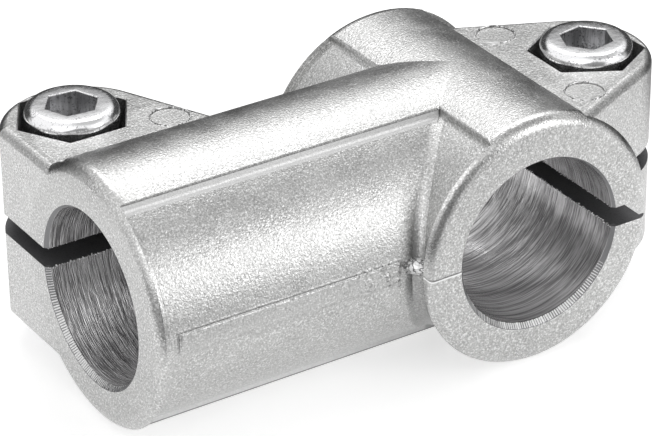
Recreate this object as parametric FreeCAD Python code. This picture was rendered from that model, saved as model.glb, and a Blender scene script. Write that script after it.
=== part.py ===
import FreeCAD, Part
import math
import os

from FreeCAD import Vector

# Tube connector: one aluminium casting with two split sleeves at right angles.
# The through sleeve lies along Y and the branch sleeve along X, both about z = 0.
# Each sleeve has a slit and a lug, and a socket head screw and a nut close it.
# The origin is where the two bore axes cross. All sizes are in millimetres.

# Sleeves
tube_diameter = 30.0        # outside of the tubes that are clamped
band_wall = 7.6             # wall on the top and bottom bands of a sleeve
side_wall = 6.3             # wall on the sides, a step thinner than the bands
band_width = 18.5           # width of the top and bottom bands
step_edge_radius = 0.4      # rounding along the edge of a band
step_root_radius = 0.8      # fillet at the foot of the step
through_length = 50.0
branch_reach = 70.0         # through axis to the branch sleeve's open end
branch_floor = 5.0          # wall left between the two bores
end_rounding = 2.4          # rounding of the open ends
lip_width = 1.2             # rim left standing at an open end, beyond the thin sides
bore_chamfer = 0.55
chamfer_drop = 0.3          # how far each chamfer is cut off centre, wider on the lower side
crease_radius = 1.8         # fillet in the corners between the two sleeves
crease_sink = 0.05          # how deep that fillet's edges sit in the sleeves

# Slits and lugs
slit_width = 3.6
slit_setback = 1.0          # how far the branch slit stays off the through sleeve
lug_height = 35.5
lug_rounding = 1.5          # rounding of the lugs' upper and lower edges
lug_root_width = 52.4       # width that the lug's sides reach at the tube's axis
lug_tip_wall = 1.95         # metal between the hexagon pocket and the lug's far end
lug_end_margin = 3.2        # radius of the lug's round end, beyond the pocket's corners
branch_screw_inset = 12.5   # branch screw to the branch sleeve's end face
ejector_mark_diameter = 6.7
ejector_mark_depth = 0.15
ejector_mark_out = 17.4     # from the tube's axis
ejector_mark_along = 12.9   # from the screw, along the tube

# Clamp screws and nuts
thread_diameter = 10.0
screw_length = 30.0         # below the head
screw_tip_chamfer = 1.0
head_diameter = 16.0
head_height = 10.0
head_top_radius = 1.8
head_proud = 2.0            # head above the lug's top
socket_flats = 8.0
socket_depth = 5.5
socket_bevel = 0.1          # bevel round the socket, beyond its corners
branch_socket_turn = 53.8   # degrees that each socket stands turned
through_socket_turn = 9.3
nut_flats = 17.0
nut_height = 8.0
nut_edge_chamfer = 1.0
nut_chamfer_angle = 30.0
pocket_side_clearance = 0.25
pocket_edge_break = 0.25    # chamfer round the pockets' mouths
hole_clearance = 0.5        # screw shank in the casting, on the radius
thread_clearance = 0.05     # screw shank in the nut, on the radius
screw_hole_wall = 6.7       # metal between a bore and its screw hole

# Marks that casting leaves
gate_scar_height = 3.5
gate_scar_rise = 0.15
gate_scar_level = 0.8       # middle of the scar above the mid-plane
gate_scar_margin = 4.0      # from the scar to each end of the branch sleeve's side
nub_radius = 1.6

bore_radius = tube_diameter / 2
band_radius = bore_radius + band_wall
side_radius = bore_radius + side_wall
band_half = band_width / 2
through_half = through_length / 2
shank_radius = thread_diameter / 2
hole_radius = shank_radius + hole_clearance
screw_offset = bore_radius + screw_hole_wall + hole_radius
branch_screw_x = branch_reach - branch_screw_inset
pocket_flats = nut_flats + 2 * pocket_side_clearance
lug_end_radius = pocket_flats / math.sqrt(3) + lug_end_margin
lug_tip = screw_offset + pocket_flats / 2 + lug_tip_wall
lug_end_centre = lug_tip - lug_end_radius
lug_top = lug_height / 2
pocket_depth = head_height - head_proud
seat_level = lug_top - pocket_depth
branch_bore_start = bore_radius + branch_floor
reach_out = lug_tip + band_radius

X_AXIS = Vector(1, 0, 0)
Y_AXIS = Vector(0, 1, 0)
Z_AXIS = Vector(0, 0, 1)
ORIGIN = Vector(0, 0, 0)


def arc_between(centre, start, end):
    """Edge of the short arc from start to end about centre."""
    middle = (start - centre) + (end - centre)
    middle.normalize()
    through = centre + middle * (start - centre).Length
    return Part.Arc(start, through, end).toShape()


def line(start, end):
    return Part.LineSegment(start, end).toShape()


def box_between(low, high):
    size = Vector(*high) - Vector(*low)
    return Part.makeBox(size.x, size.y, size.z, Vector(*low))


def hexagon_wire(across_flats, base, turn):
    """Level hexagon with a corner at the angle turn from +X."""
    radius = across_flats / math.sqrt(3)
    points = []
    for step in range(7):
        angle = math.radians(60 * step + turn)
        points.append(base + Vector(radius * math.cos(angle), radius * math.sin(angle), 0))
    return Part.makePolygon(points)


def hexagon_prism(across_flats, height, base, turn):
    return Part.Face(hexagon_wire(across_flats, base, turn)).extrude(Vector(0, 0, height))


def rod_with_round_end(radius, length, rounding):
    """Rod along +X from the origin, with its far edge rounded."""
    shoulder = length - rounding
    core = radius - rounding
    corners = [Vector(0, 0, 0), Vector(0, radius, 0), Vector(shoulder, radius, 0),
               Vector(length, core, 0), Vector(length, 0, 0)]
    edges = [line(corners[0], corners[1]), line(corners[1], corners[2]),
             arc_between(Vector(shoulder, core, 0), corners[2], corners[3]),
             line(corners[3], corners[4]), line(corners[4], corners[0])]
    return Part.Face(Part.Wire(edges)).revolve(ORIGIN, X_AXIS, 360)


def section_quarter():
    """Points of one quarter of a sleeve's section, from the top round to the side."""
    edge_y = band_half - step_edge_radius
    edge_r = band_radius - step_edge_radius
    edge = Vector(0, edge_y, math.sqrt(edge_r ** 2 - edge_y ** 2))
    root_y = band_half + step_root_radius
    root_r = side_radius + step_root_radius
    root = Vector(0, root_y, math.sqrt(root_r ** 2 - root_y ** 2))
    return {
        "top": Vector(0, 0, band_radius),
        "edge_centre": edge,
        "edge_start": edge * (band_radius / edge_r),
        "edge_end": Vector(0, band_half, edge.z),
        "root_centre": root,
        "root_start": Vector(0, band_half, root.z),
        "root_end": root * (side_radius / root_r),
        "side": Vector(0, side_radius, 0),
    }


def sleeve_section():
    """Closed section of a sleeve in the YZ plane: two raised bands and two thin sides."""
    quarter = section_quarter()
    edges = []
    for sign_y, sign_z in ((1, 1), (1, -1), (-1, -1), (-1, 1)):
        at = {name: Vector(0, sign_y * p.y, sign_z * p.z) for name, p in quarter.items()}
        edges.append(arc_between(ORIGIN, at["top"], at["edge_start"]))
        edges.append(arc_between(at["edge_centre"], at["edge_start"], at["edge_end"]))
        edges.append(line(at["edge_end"], at["root_start"]))
        edges.append(arc_between(at["root_centre"], at["root_start"], at["root_end"]))
        edges.append(arc_between(ORIGIN, at["root_end"], at["side"]))
    return Part.Face(Part.Wire(Part.__sortEdges__(edges)))


def half_sleeve(length):
    """Solid sleeve along +X from the origin to its open end."""
    stepped = sleeve_section().extrude(Vector(length - lip_width, 0, 0))
    lip = Part.makeCylinder(band_radius, lip_width, Vector(length - lip_width, 0, 0), X_AXIS)
    blank = stepped.fuse(lip).removeSplitter()
    return blank.common(rod_with_round_end(band_radius, length, end_rounding))


def mitre_wedge():
    """Region between the two upright planes in which the branch meets the through sleeve."""
    far = 2 * reach_out + branch_reach
    low = -2 * band_radius
    corners = [Vector(0, 0, low), Vector(far, far, low), Vector(far, -far, low), Vector(0, 0, low)]
    return Part.Face(Part.makePolygon(corners)).extrude(Vector(0, 0, -2 * low))


def sleeves():
    """Both sleeves as one solid, joined along the mitre where their surfaces meet."""
    wedge = mitre_wedge()
    branch = half_sleeve(branch_reach).common(wedge)
    front = half_sleeve(through_half)
    front.rotate(ORIGIN, Z_AXIS, 90)
    back = half_sleeve(through_half)
    back.rotate(ORIGIN, Z_AXIS, -90)
    through = front.fuse(back).removeSplitter().cut(wedge)
    return through.fuse(branch).removeSplitter()


def crease(side):
    """Fillet in the upright corner between the sleeves, towards +Y or towards -Y."""
    corner_way = Vector(1, side, 0)
    corner = Part.Ellipse(corner_way * side_radius, Z_AXIS * side_radius, ORIGIN)
    top = math.acos((band_half - crease_radius) / side_radius)
    path = Part.Wire(corner.toShape(-top, top))
    start = corner.value(-top)
    centre = start + corner_way * crease_radius
    low = start - corner_way * crease_sink
    near_x = Vector(centre.x, low.y, start.z)
    near_y = Vector(low.x, centre.y, start.z)
    edges = [line(low, near_x), arc_between(centre, near_x, near_y), line(near_y, low)]
    sweep = Part.BRepOffsetAPI.MakePipeShell(path)
    sweep.setTrihedronMode(ORIGIN, Z_AXIS)
    sweep.add(Part.Wire(edges))
    sweep.build()
    sweep.makeSolid()
    return sweep.shape()


def lug_plan():
    """Outline of a lug seen from above, for a tube along X with the lug towards -Y.

    The screw is at x = 0, and both sides run tangent to the round end.
    """
    half_root = lug_root_width / 2
    reach = math.hypot(lug_end_centre, half_root)
    taper = math.acos(lug_end_radius / reach) - math.atan2(lug_end_centre, half_root)
    touch = Vector(lug_end_radius * math.cos(taper),
                   -lug_end_centre - lug_end_radius * math.sin(taper), 0)
    mirrored = Vector(-touch.x, touch.y, 0)
    tip = Vector(0, -lug_tip, 0)
    edges = [line(Vector(-half_root, 0, 0), mirrored),
             Part.Arc(mirrored, tip, touch).toShape(),
             line(touch, Vector(half_root, 0, 0)),
             line(Vector(half_root, 0, 0), Vector(-half_root, 0, 0))]
    return Part.Face(Part.Wire(edges))


def lug(plan):
    """Lug with rounded upper and lower edges, its root plane on the tube's axis."""
    block = plan.extrude(Vector(0, 0, lug_height))
    block.translate(Vector(0, 0, -lug_top))
    rim = []
    for edge in block.Edges:
        box = edge.BoundBox
        level = box.ZLength < 1e-6
        root = abs(box.YMax) < 1e-6 and abs(box.YMin) < 1e-6
        if level and not root:
            rim.append(edge)
    return block.makeFillet(lug_rounding, rim)


def squared_plan(low, high):
    """The lug's outline, squared off where its sleeve ends."""
    keep = Part.makePlane(high - low, reach_out, Vector(low, -reach_out, 0))
    return lug_plan().common(keep)


def branch_lug():
    block = lug(squared_plan(-lug_root_width, branch_screw_inset))
    block.translate(Vector(branch_screw_x, 0, 0))
    return block


def through_lug():
    block = lug(squared_plan(-through_half, through_half))
    block.rotate(ORIGIN, Z_AXIS, -90)
    return block


def mouth(centre, inward, lower):
    """Chamfer cut at a bore's mouth, with its axis moved towards lower."""
    wide = bore_radius + bore_chamfer
    depth = bore_chamfer + chamfer_drop
    return Part.makeCone(wide, wide - depth, depth, centre + lower * chamfer_drop, inward)


def bores():
    """The two tube bores with their chamfered mouths."""
    through = Part.makeCylinder(bore_radius, through_length, Vector(0, -through_half, 0), Y_AXIS)
    depth = branch_reach - branch_bore_start
    branch = Part.makeCylinder(bore_radius, depth, Vector(branch_bore_start, 0, 0), X_AXIS)
    mouths = [
        mouth(Vector(0, through_half, 0), -Y_AXIS, -Z_AXIS),
        mouth(Vector(0, -through_half, 0), Y_AXIS, -Z_AXIS),
        mouth(Vector(branch_reach, 0, 0), -X_AXIS, Vector(0, -0.6, -0.8)),
    ]
    return [through, branch] + mouths


def slits():
    """The sawn gaps that let each sleeve close on its tube."""
    half = slit_width / 2
    through = box_between((-reach_out, -through_half, -half), (0, through_half, half))
    start = side_radius + slit_setback
    branch = box_between((start, -reach_out, -half), (branch_reach, 0, half))
    return [through, branch]


def edge_break(centre, level, inward, turn):
    """Chamfer cut round the mouth of a hexagon pocket in the lug's face at level."""
    wide = hexagon_wire(pocket_flats + 2 * pocket_edge_break, centre + Z_AXIS * level, turn)
    end = level + inward * pocket_edge_break
    narrow = hexagon_wire(pocket_flats, centre + Z_AXIS * end, turn)
    return Part.makeLoft([wide, narrow], True)


def screw_place(centre, turn):
    """Cuts for one screw: its hole, and a hexagon pocket in each face of the lug."""
    hole = Part.makeCylinder(hole_radius, lug_height, centre - Z_AXIS * lug_top)
    upper = hexagon_prism(pocket_flats, pocket_depth, centre + Z_AXIS * seat_level, turn)
    lower = hexagon_prism(pocket_flats, pocket_depth, centre - Z_AXIS * lug_top, turn)
    rims = [edge_break(centre, lug_top, -1, turn), edge_break(centre, -lug_top, 1, turn)]
    return [hole, upper, lower] + rims


def ejector_marks():
    """Shallow round marks that the ejector pins leave on both faces of each lug."""
    spots = [(branch_screw_x - ejector_mark_along, -ejector_mark_out),
             (-ejector_mark_out, ejector_mark_along),
             (-ejector_mark_out, -ejector_mark_along)]
    radius = ejector_mark_diameter / 2
    marks = []
    for x, y in spots:
        for level in (lug_top - ejector_mark_depth, -lug_top):
            marks.append(Part.makeCylinder(radius, ejector_mark_depth, Vector(x, y, level)))
    return marks


def gate_scar():
    """Low strip on the branch sleeve's plain side, where the runner was trimmed off."""
    skin = Part.makeCylinder(side_radius + gate_scar_rise, branch_reach, ORIGIN, X_AXIS)
    low = gate_scar_level - gate_scar_height / 2
    start = side_radius + gate_scar_margin
    end = branch_reach - gate_scar_margin
    window = box_between((start, bore_radius, low), (end, 2 * side_radius, low + gate_scar_height))
    return skin.common(window)


def nub():
    """Small bead of metal in the corner between the two sleeves.

    Its poles point out of the corner and into it, so that its seam meets no other edge.
    """
    bead = Part.makeSphere(nub_radius)
    bead.rotate(ORIGIN, Vector(-1, 1, 0), 90)
    bead.translate(Vector(side_radius, side_radius, gate_scar_level))
    return bead


branch_screw_at = Vector(branch_screw_x, -screw_offset, 0)
through_screw_at = Vector(-screw_offset, 0, 0)
# The flats of each pocket face its tube, so its corners lie along the tube.
branch_pocket_turn = 0.0
through_pocket_turn = 30.0


def clamp_body():
    """The casting: sleeves, lugs, bores, slits and screw pockets in one solid."""
    added = [crease(1), crease(-1), branch_lug(), through_lug(), gate_scar(), nub()]
    cuts = bores() + slits() + ejector_marks()
    cuts += screw_place(branch_screw_at, branch_pocket_turn)
    cuts += screw_place(through_screw_at, through_pocket_turn)
    return sleeves().fuse(added).cut(cuts).removeSplitter()


def clamp_screw(centre, turn):
    """Socket head screw standing on its seat in the upper pocket."""
    radius = head_diameter / 2
    crown = seat_level + head_height
    tip = seat_level - screw_length
    outline = [Vector(0, 0, crown),
               Vector(0, 0, tip),
               Vector(shank_radius - screw_tip_chamfer, 0, tip),
               Vector(shank_radius, 0, tip + screw_tip_chamfer),
               Vector(shank_radius, 0, seat_level),
               Vector(radius, 0, seat_level),
               Vector(radius, 0, crown - head_top_radius)]
    edges = [line(outline[i], outline[i + 1]) for i in range(len(outline) - 1)]
    rim_centre = Vector(radius - head_top_radius, 0, crown - head_top_radius)
    rim_end = Vector(rim_centre.x, 0, crown)
    edges.append(arc_between(rim_centre, outline[-1], rim_end))
    edges.append(line(rim_end, outline[0]))
    solid = Part.Face(Part.Wire(edges)).revolve(ORIGIN, Z_AXIS, 360)
    socket = hexagon_prism(socket_flats, socket_depth, Vector(0, 0, crown - socket_depth), turn)
    narrow = socket_flats / 2
    wide = socket_flats / math.sqrt(3) + socket_bevel
    bevel = Part.makeCone(narrow, wide, wide - narrow, Vector(0, 0, crown - wide + narrow))
    solid = solid.cut([socket, bevel])
    solid.translate(centre)
    return solid


def clamp_nut(centre, turn):
    """Hexagon nut in the lower pocket, against the pocket's floor."""
    top = -seat_level
    base = Vector(0, 0, top - nut_height)
    prism = hexagon_prism(nut_flats, nut_height, base, turn)
    corner = nut_flats / math.sqrt(3)
    drop = nut_edge_chamfer * math.tan(math.radians(nut_chamfer_angle))
    lower = Part.makeCone(corner - nut_edge_chamfer, corner, drop, base)
    waist = Part.makeCylinder(corner, nut_height - 2 * drop, base + Z_AXIS * drop)
    upper = Part.makeCone(corner, corner - nut_edge_chamfer, drop, Vector(0, 0, top - drop))
    turned = lower.fuse([waist, upper]).removeSplitter()
    hole = Part.makeCylinder(shank_radius + thread_clearance, nut_height, base)
    solid = prism.common(turned).cut(hole)
    solid.translate(centre)
    return solid


nodes = {
    "clamp_body": clamp_body(),
    "branch_screw": clamp_screw(branch_screw_at, branch_socket_turn),
    "through_screw": clamp_screw(through_screw_at, through_socket_turn),
    "branch_nut": clamp_nut(branch_screw_at, branch_pocket_turn),
    "through_nut": clamp_nut(through_screw_at, through_pocket_turn),
}

os.makedirs("parts", exist_ok=True)
for name, shape in nodes.items():
    shape.exportStep("parts/" + name + ".step")
    print(name, "solids", len(shape.Solids), "valid", shape.isValid(), "volume", round(shape.Volume, 1))
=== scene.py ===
import math

import bpy
from bpy.props import FloatProperty, FloatVectorProperty, IntProperty, PointerProperty
from mathutils import Matrix, Vector, noise


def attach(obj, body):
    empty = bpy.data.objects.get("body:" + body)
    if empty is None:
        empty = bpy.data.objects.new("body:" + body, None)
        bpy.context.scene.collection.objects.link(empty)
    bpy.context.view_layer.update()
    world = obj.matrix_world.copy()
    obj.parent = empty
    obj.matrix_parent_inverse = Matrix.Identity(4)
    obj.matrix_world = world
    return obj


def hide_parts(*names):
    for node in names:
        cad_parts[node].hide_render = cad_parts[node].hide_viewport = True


bl_info = {
    "name": "Tube connector",
    "version": (1, 0, 0),
    "blender": (4, 5, 0),
    "location": "3D View > Sidebar > Tube connector",
    "description": "Finishes, clamp screws and fine marks of a cast tube connector",
    "category": "Object",
}

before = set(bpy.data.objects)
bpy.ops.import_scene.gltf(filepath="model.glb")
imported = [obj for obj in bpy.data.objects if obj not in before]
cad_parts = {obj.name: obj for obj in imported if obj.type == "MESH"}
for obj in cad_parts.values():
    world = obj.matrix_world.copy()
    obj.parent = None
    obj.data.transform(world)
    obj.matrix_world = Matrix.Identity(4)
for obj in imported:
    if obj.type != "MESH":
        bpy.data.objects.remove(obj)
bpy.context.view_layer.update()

MM = 0.001                    # the sizes below are in millimetres
CASTING = "casting"           # the CAD body that carries everything but the screws

# Places on the connector, in the frame of its CAD model
BORE_RADIUS = 15.0
SIDE_RADIUS = 21.3
BAND_RADIUS = 22.6
BRANCH_REACH = 70.0           # through axis to the branch sleeve's open end
THROUGH_HALF = 25.0
END_ROUNDING = 2.4
CHAMFER = 0.55                # width of the mouths' chamfers, and how far off centre
CHAMFER_DROP = 0.3
SLIT_HALF = 1.8
BRANCH_SLIT_START = 22.3
LUG_TOP = 17.75
EJECTOR_RADIUS = 3.35
EJECTOR_MARKS = ((44.6, -17.4), (-17.4, 12.9), (-17.4, -12.9))
SCREW_OFFSET = 27.2
BRANCH_SCREW_X = 57.5
SCREW_PLACES = {              # x, y and the turn of the socket in degrees
    "branch_screw": (BRANCH_SCREW_X, -SCREW_OFFSET, 53.8),
    "through_screw": (-SCREW_OFFSET, 0.0, 9.3),
}
SEAT_LEVEL = 9.75
HEAD_ROUNDING = 1.8
SOCKET_DEPTH = 5.5
SCAR_LEVEL = 0.8
SCAR_HALF = 1.75
SCAR_MARGIN = 4.0             # from the scar to each end of the branch sleeve's side

# Limits of the finishes on the casting
BORE_LIMIT = BORE_RADIUS + 0.03
SLIT_LIMIT = SLIT_HALF + 0.004
SLIT_INNER = 14.8             # the sawn faces start this far from a tube's axis

# Socket kinds of the node trees
FLOAT, VECTOR, WHOLE = "NodeSocketFloat", "NodeSocketVector", "NodeSocketInt"


# Sizes and colours that a user would change

class CastingLook(bpy.types.PropertyGroup):
    """Finish of the casting."""

    skin_colour: FloatVectorProperty(
        name="Cast skin", description="Colour of the blasted cast skin",
        default=(0.51, 0.51, 0.505), size=3, subtype="COLOR", min=0, max=1)
    # Also painted on the band walls as a highlight, and on the grain's bright specks as glints
    fresh_and_highlight_colour: FloatVectorProperty(
        name="Fresh metal", description="Colour of cut or trimmed metal",
        default=(0.9, 0.9, 0.9), size=3, subtype="COLOR", min=0, max=1)
    bore_colour: FloatVectorProperty(
        name="Turned bore", description="Colour of the machined bores",
        default=(0.92, 0.915, 0.92), size=3, subtype="COLOR", min=0, max=1)
    slit_colour: FloatVectorProperty(
        name="Sawn slit", description="Colour of the sawn faces",
        default=(0.16, 0.16, 0.165), size=3, subtype="COLOR", min=0, max=1)
    skin_roughness: FloatProperty(
        name="Skin roughness", description="Roughness of the cast skin",
        default=0.37, min=0.05, max=1)
    grain_size: FloatProperty(
        name="Grain size", description="Size of the blasted grain, in millimetres",
        default=0.46, min=0.1, max=2)
    grain_depth: FloatProperty(
        name="Grain depth", description="Depth of the blasted grain, in millimetres",
        default=0.055, min=0, max=0.2)


class ScrewSizes(bpy.types.PropertyGroup):
    """Sizes of the clamp screws, which are the CAD model's own."""

    head_diameter: FloatProperty(
        name="Head", description="Diameter of the head", default=0.016, unit="LENGTH")
    head_height: FloatProperty(
        name="Head height", description="Height of the head", default=0.010, unit="LENGTH")
    socket_flats: FloatProperty(
        name="Socket", description="Width of the socket across its flats",
        default=0.008, unit="LENGTH")
    length: FloatProperty(
        name="Length", description="Length below the head", default=0.030, unit="LENGTH")
    thread_diameter: FloatProperty(
        name="Thread", description="Outside diameter of the thread",
        default=0.010, unit="LENGTH")
    thread_pitch: FloatProperty(
        name="Pitch", description="Pitch of the thread", default=0.0015, unit="LENGTH")
    colour: FloatVectorProperty(
        name="Plating", description="Colour of the bright plating",
        default=(0.9, 0.9, 0.91), size=3, subtype="COLOR", min=0, max=1)


class EdgeMarks(bpy.types.PropertyGroup):
    """Marks that casting and machining leave."""

    tick_count: IntProperty(
        name="Ticks", description="Chatter marks at each open bore", default=74, min=2)
    tick_width: FloatProperty(
        name="Tick width", description="Width of the widest chatter mark",
        default=0.0004, unit="LENGTH")
    burr_spacing: FloatProperty(
        name="Burr spacing", description="Distance between the burrs along a slit",
        default=0.00055, unit="LENGTH")
    burr_size: FloatProperty(
        name="Burr size", description="Size of the largest burr",
        default=0.0004, unit="LENGTH")
    seed: IntProperty(name="Seed", description="Seed of the random sizes", default=7)


class StudioLook(bpy.types.PropertyGroup):
    """The plain studio around the connector."""

    floor_colour: FloatVectorProperty(
        name="Floor", description="Colour of the floor", default=(0.9, 0.9, 0.9),
        size=3, subtype="COLOR", min=0, max=1)
    floor_radius: FloatProperty(
        name="Floor radius", description="Radius of the round floor",
        default=0.16, unit="LENGTH")
    room_level: FloatProperty(
        name="Room level", description="Brightness of the room that lights the part",
        default=0.66, min=0)
    top_power: FloatProperty(
        name="Top light", description="Power of the soft light above", default=3.4, min=0)
    side_power: FloatProperty(
        name="Side light", description="Power of the soft light at the camera's right",
        default=2.4, min=0)


# Node trees

def opaque(colour):
    """Opaque colour from a grey level or from red, green and blue."""
    red, green, blue = (colour,) * 3 if isinstance(colour, float) else colour
    return (red, green, blue, 1.0)


class Network:
    """A node tree, with short calls that add a node and give back its output."""

    def __init__(self, tree):
        self.tree = tree
        self.identifiers = {}     # of the tree's own inputs, by their names
        self.results = None       # inputs of the tree's output node

    def put(self, value, socket):
        """Puts a number, colour or another node's output on an input."""
        if isinstance(value, bpy.types.NodeSocket):
            self.tree.links.new(value, socket)
        else:
            socket.default_value = value

    def add(self, kind, *values, settings=None, **named):
        """New node, with values on its first inputs and on those named, with _ for a space."""
        node = self.tree.nodes.new(kind)
        for label, setting in (settings or {}).items():
            setattr(node, label, setting)
        for socket, value in zip(node.inputs, values):
            self.put(value, socket)
        for label, value in named.items():
            self.put(value, node.inputs[label.replace("_", " ")])
        return node

    def finish(self, **values):
        """Puts values on the tree's outputs of those names, with _ for a space."""
        for label, value in values.items():
            self.put(value, self.results[label.replace("_", " ")])

    def math(self, operation, *values):
        return self.add("ShaderNodeMath", *values, settings={"operation": operation}).outputs[0]

    def plus(self, first, second):
        return self.math("ADD", first, second)

    def minus(self, first, second):
        return self.math("SUBTRACT", first, second)

    def times(self, first, *factors):
        for factor in factors:
            first = self.math("MULTIPLY", first, factor)
        return first

    def times_plus(self, first, factor, added):
        return self.math("MULTIPLY_ADD", first, factor, added)

    def larger(self, first, second):
        return self.math("MAXIMUM", first, second)

    def absolute(self, value):
        return self.math("ABSOLUTE", value)

    def above(self, value, limit):
        return self.math("GREATER_THAN", value, limit)

    def below(self, value, limit):
        return self.math("LESS_THAN", value, limit)

    def length(self, x, y):
        """Length of the vector that has two numbers for its parts."""
        return self.math("SQRT", self.times_plus(x, x, self.times(y, y)))

    def ramp(self, value, low, high, to_low=0.0, to_high=1.0):
        """Smooth step of value from low to high."""
        return self.add("ShaderNodeMapRange", value, low, high, to_low, to_high,
                        settings={"interpolation_type": "SMOOTHSTEP"}).outputs["Result"]

    def mix(self, factor, first, second):
        """Blend of two numbers."""
        node = self.add("ShaderNodeMix", factor, settings={"data_type": "FLOAT"})
        self.put(first, node.inputs[2])
        self.put(second, node.inputs[3])
        return node.outputs[0]

    def blend(self, factor, first, second):
        """Blend of two colours, each an output, a grey level or red, green and blue."""
        node = self.add("ShaderNodeMix", factor, settings={"data_type": "RGBA"})
        for colour, socket in ((first, node.inputs[6]), (second, node.inputs[7])):
            linked = isinstance(colour, bpy.types.NodeSocket)
            self.put(colour if linked else opaque(colour), socket)
        return node.outputs[2]

    def layers(self, colour, layers):
        """Colour with others laid over it, each by a mask and its strength."""
        for mask, strength, tint in layers:
            colour = self.blend(self.times(mask, strength), colour, tint)
        return colour

    def vector(self, x, y, z):
        return self.add("ShaderNodeCombineXYZ", x, y, z).outputs[0]

    def split(self, vector):
        return self.add("ShaderNodeSeparateXYZ", vector).outputs

    def vector_math(self, operation, *vectors):
        """The node itself, because the output to use depends on the operation."""
        return self.add("ShaderNodeVectorMath", *vectors, settings={"operation": operation})

    def shift(self, vector, offset):
        return self.vector_math("ADD", vector, offset).outputs["Vector"]

    def stretch(self, vector, factors):
        return self.vector_math("MULTIPLY", vector, factors).outputs["Vector"]

    def scale(self, vector, factor):
        node = self.vector_math("SCALE", vector)
        self.put(factor, node.inputs["Scale"])
        return node.outputs["Vector"]

    def dot(self, first, second):
        return self.vector_math("DOT_PRODUCT", first, second).outputs["Value"]

    def noise(self, vector, scale, detail=2.0, roughness=0.5):
        return self.add("ShaderNodeTexNoise", Vector=vector, Scale=scale, Detail=detail,
                        Roughness=roughness).outputs["Fac"]

    def attribute(self, name):
        """Number that each vertex of a piece carries."""
        return self.add("ShaderNodeAttribute", settings={"attribute_name": name}).outputs["Fac"]

    def group(self, name, **values):
        """Outputs of a shared effect, with values on its inputs."""
        tree = bpy.data.node_groups[name]
        return self.add("ShaderNodeGroup", settings={"node_tree": tree}, **values).outputs

    def bump(self, height, normal=None):
        """Bump whose height is in millimetres."""
        node = self.add("ShaderNodeBump", Strength=1.0, Distance=MM, Height=height)
        if normal is not None:
            self.put(normal, node.inputs["Normal"])
        return node.outputs[0]

    def random(self, low, high, seed):
        """Random number, or vector where the limits are vectors."""
        kind = "FLOAT_VECTOR" if isinstance(low, tuple) else "FLOAT"
        node = self.add("FunctionNodeRandomValue", settings={"data_type": kind}, Seed=seed)
        shown = [socket for socket in node.inputs if socket.enabled]
        self.put(low, shown[0])
        self.put(high, shown[1])
        return next(socket for socket in node.outputs if socket.enabled)


def new_tree(name, kind, inputs, outputs):
    """Network of a new tree and the outputs of its input node, from names and kinds."""
    net = Network(bpy.data.node_groups.new(name, kind))
    sockets = net.tree.interface
    for label, socket_kind in inputs.items():
        socket = sockets.new_socket(label, in_out="INPUT", socket_type=socket_kind)
        net.identifiers[label] = socket.identifier
    for label, socket_kind in outputs.items():
        sockets.new_socket(label, in_out="OUTPUT", socket_type=socket_kind)
    given = net.add("NodeGroupInput").outputs
    net.results = net.add("NodeGroupOutput").inputs
    return net, given


def new_effect(name, inputs, outputs):
    """Shader node group; outputs that are listed without a kind are numbers."""
    if not isinstance(outputs, dict):
        outputs = dict.fromkeys(outputs, FLOAT)
    return new_tree(name, "ShaderNodeTree", inputs, outputs)


# Shared effects

def build_grain_group():
    """Blasted grain: height in millimetres, and where its dark and bright specks are; the cast
    skin paints these specks as dark reflections and glints of the blasted facets.
    """
    net, given = new_effect("blasted grain", {"Position": VECTOR, "Size": FLOAT, "Depth": FLOAT},
                            ["Height", "Dark", "Bright", "Clouds"])
    place = given["Position"]
    per_size = net.math("DIVIDE", 1.0, given["Size"])
    coarse = net.noise(place, per_size, 1.0)
    fine = net.noise(net.shift(place, (3.1, 7.7, 1.9)), net.times(per_size, 2.1), 0.0)
    height = net.times(net.times_plus(fine, 0.6, coarse), given["Depth"])
    specks = net.noise(net.shift(place, (9.3, 2.2, 5.6)), net.times(per_size, 1.55), 1.0)
    clouds = net.noise(place, 0.16, 3.0, 0.6)
    net.finish(Height=height, Dark=net.ramp(specks, 0.46, 0.34),
               Bright=net.ramp(specks, 0.55, 0.67), Clouds=net.ramp(clouds, 0.3, 0.7))


def build_tool_group():
    """Lines that a turning tool leaves round a bore, from the place along its axis."""
    net, given = new_effect("tool lines", {"Along": FLOAT, "Round": VECTOR, "Lines": FLOAT},
                            ["Height", "Tone"])
    drift = net.noise(given["Round"], 0.09, 2.0)
    along = net.times_plus(drift, 0.7, given["Along"])
    crossed = net.times(along, given["Lines"])
    round_bore = net.scale(given["Round"], 0.12)
    lines = net.noise(net.shift(round_bore, net.vector(crossed, 0.0, 0.0)), 1.0, 2.5, 0.65)
    broad_place = net.vector(net.times(along, 0.25), 5.0, 0.0)
    broad = net.noise(net.shift(round_bore, broad_place), 1.0, 2.0)
    speck_place = net.vector(net.times(crossed, 1.3), 3.0, 8.0)
    specks = net.noise(net.shift(net.scale(given["Round"], 0.45), speck_place), 1.0, 1.0)
    tone = net.times_plus(specks, 0.45, net.times_plus(broad, 0.5, lines))
    net.finish(Height=net.times_plus(specks, 0.5, lines), Tone=net.ramp(tone, 0.8, 1.15))


def build_edge_group():
    """Normal with the sharp edges softened, and a mask of those edges where they are worn."""
    net, given = new_effect("softened edges", {"Reach": FLOAT, "Position": VECTOR},
                            {"Normal": VECTOR, "Wear": FLOAT})
    bevel = net.add("ShaderNodeBevel", settings={"samples": 4}, Radius=given["Reach"])
    surface = net.add("ShaderNodeNewGeometry").outputs["Normal"]
    edge = net.ramp(net.dot(bevel.outputs[0], surface), 0.985, 0.86)
    patchy = net.ramp(net.noise(given["Position"], 0.7, 3.0), 0.35, 0.6)
    net.finish(Normal=bevel.outputs[0], Wear=net.times(edge, patchy))


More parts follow.
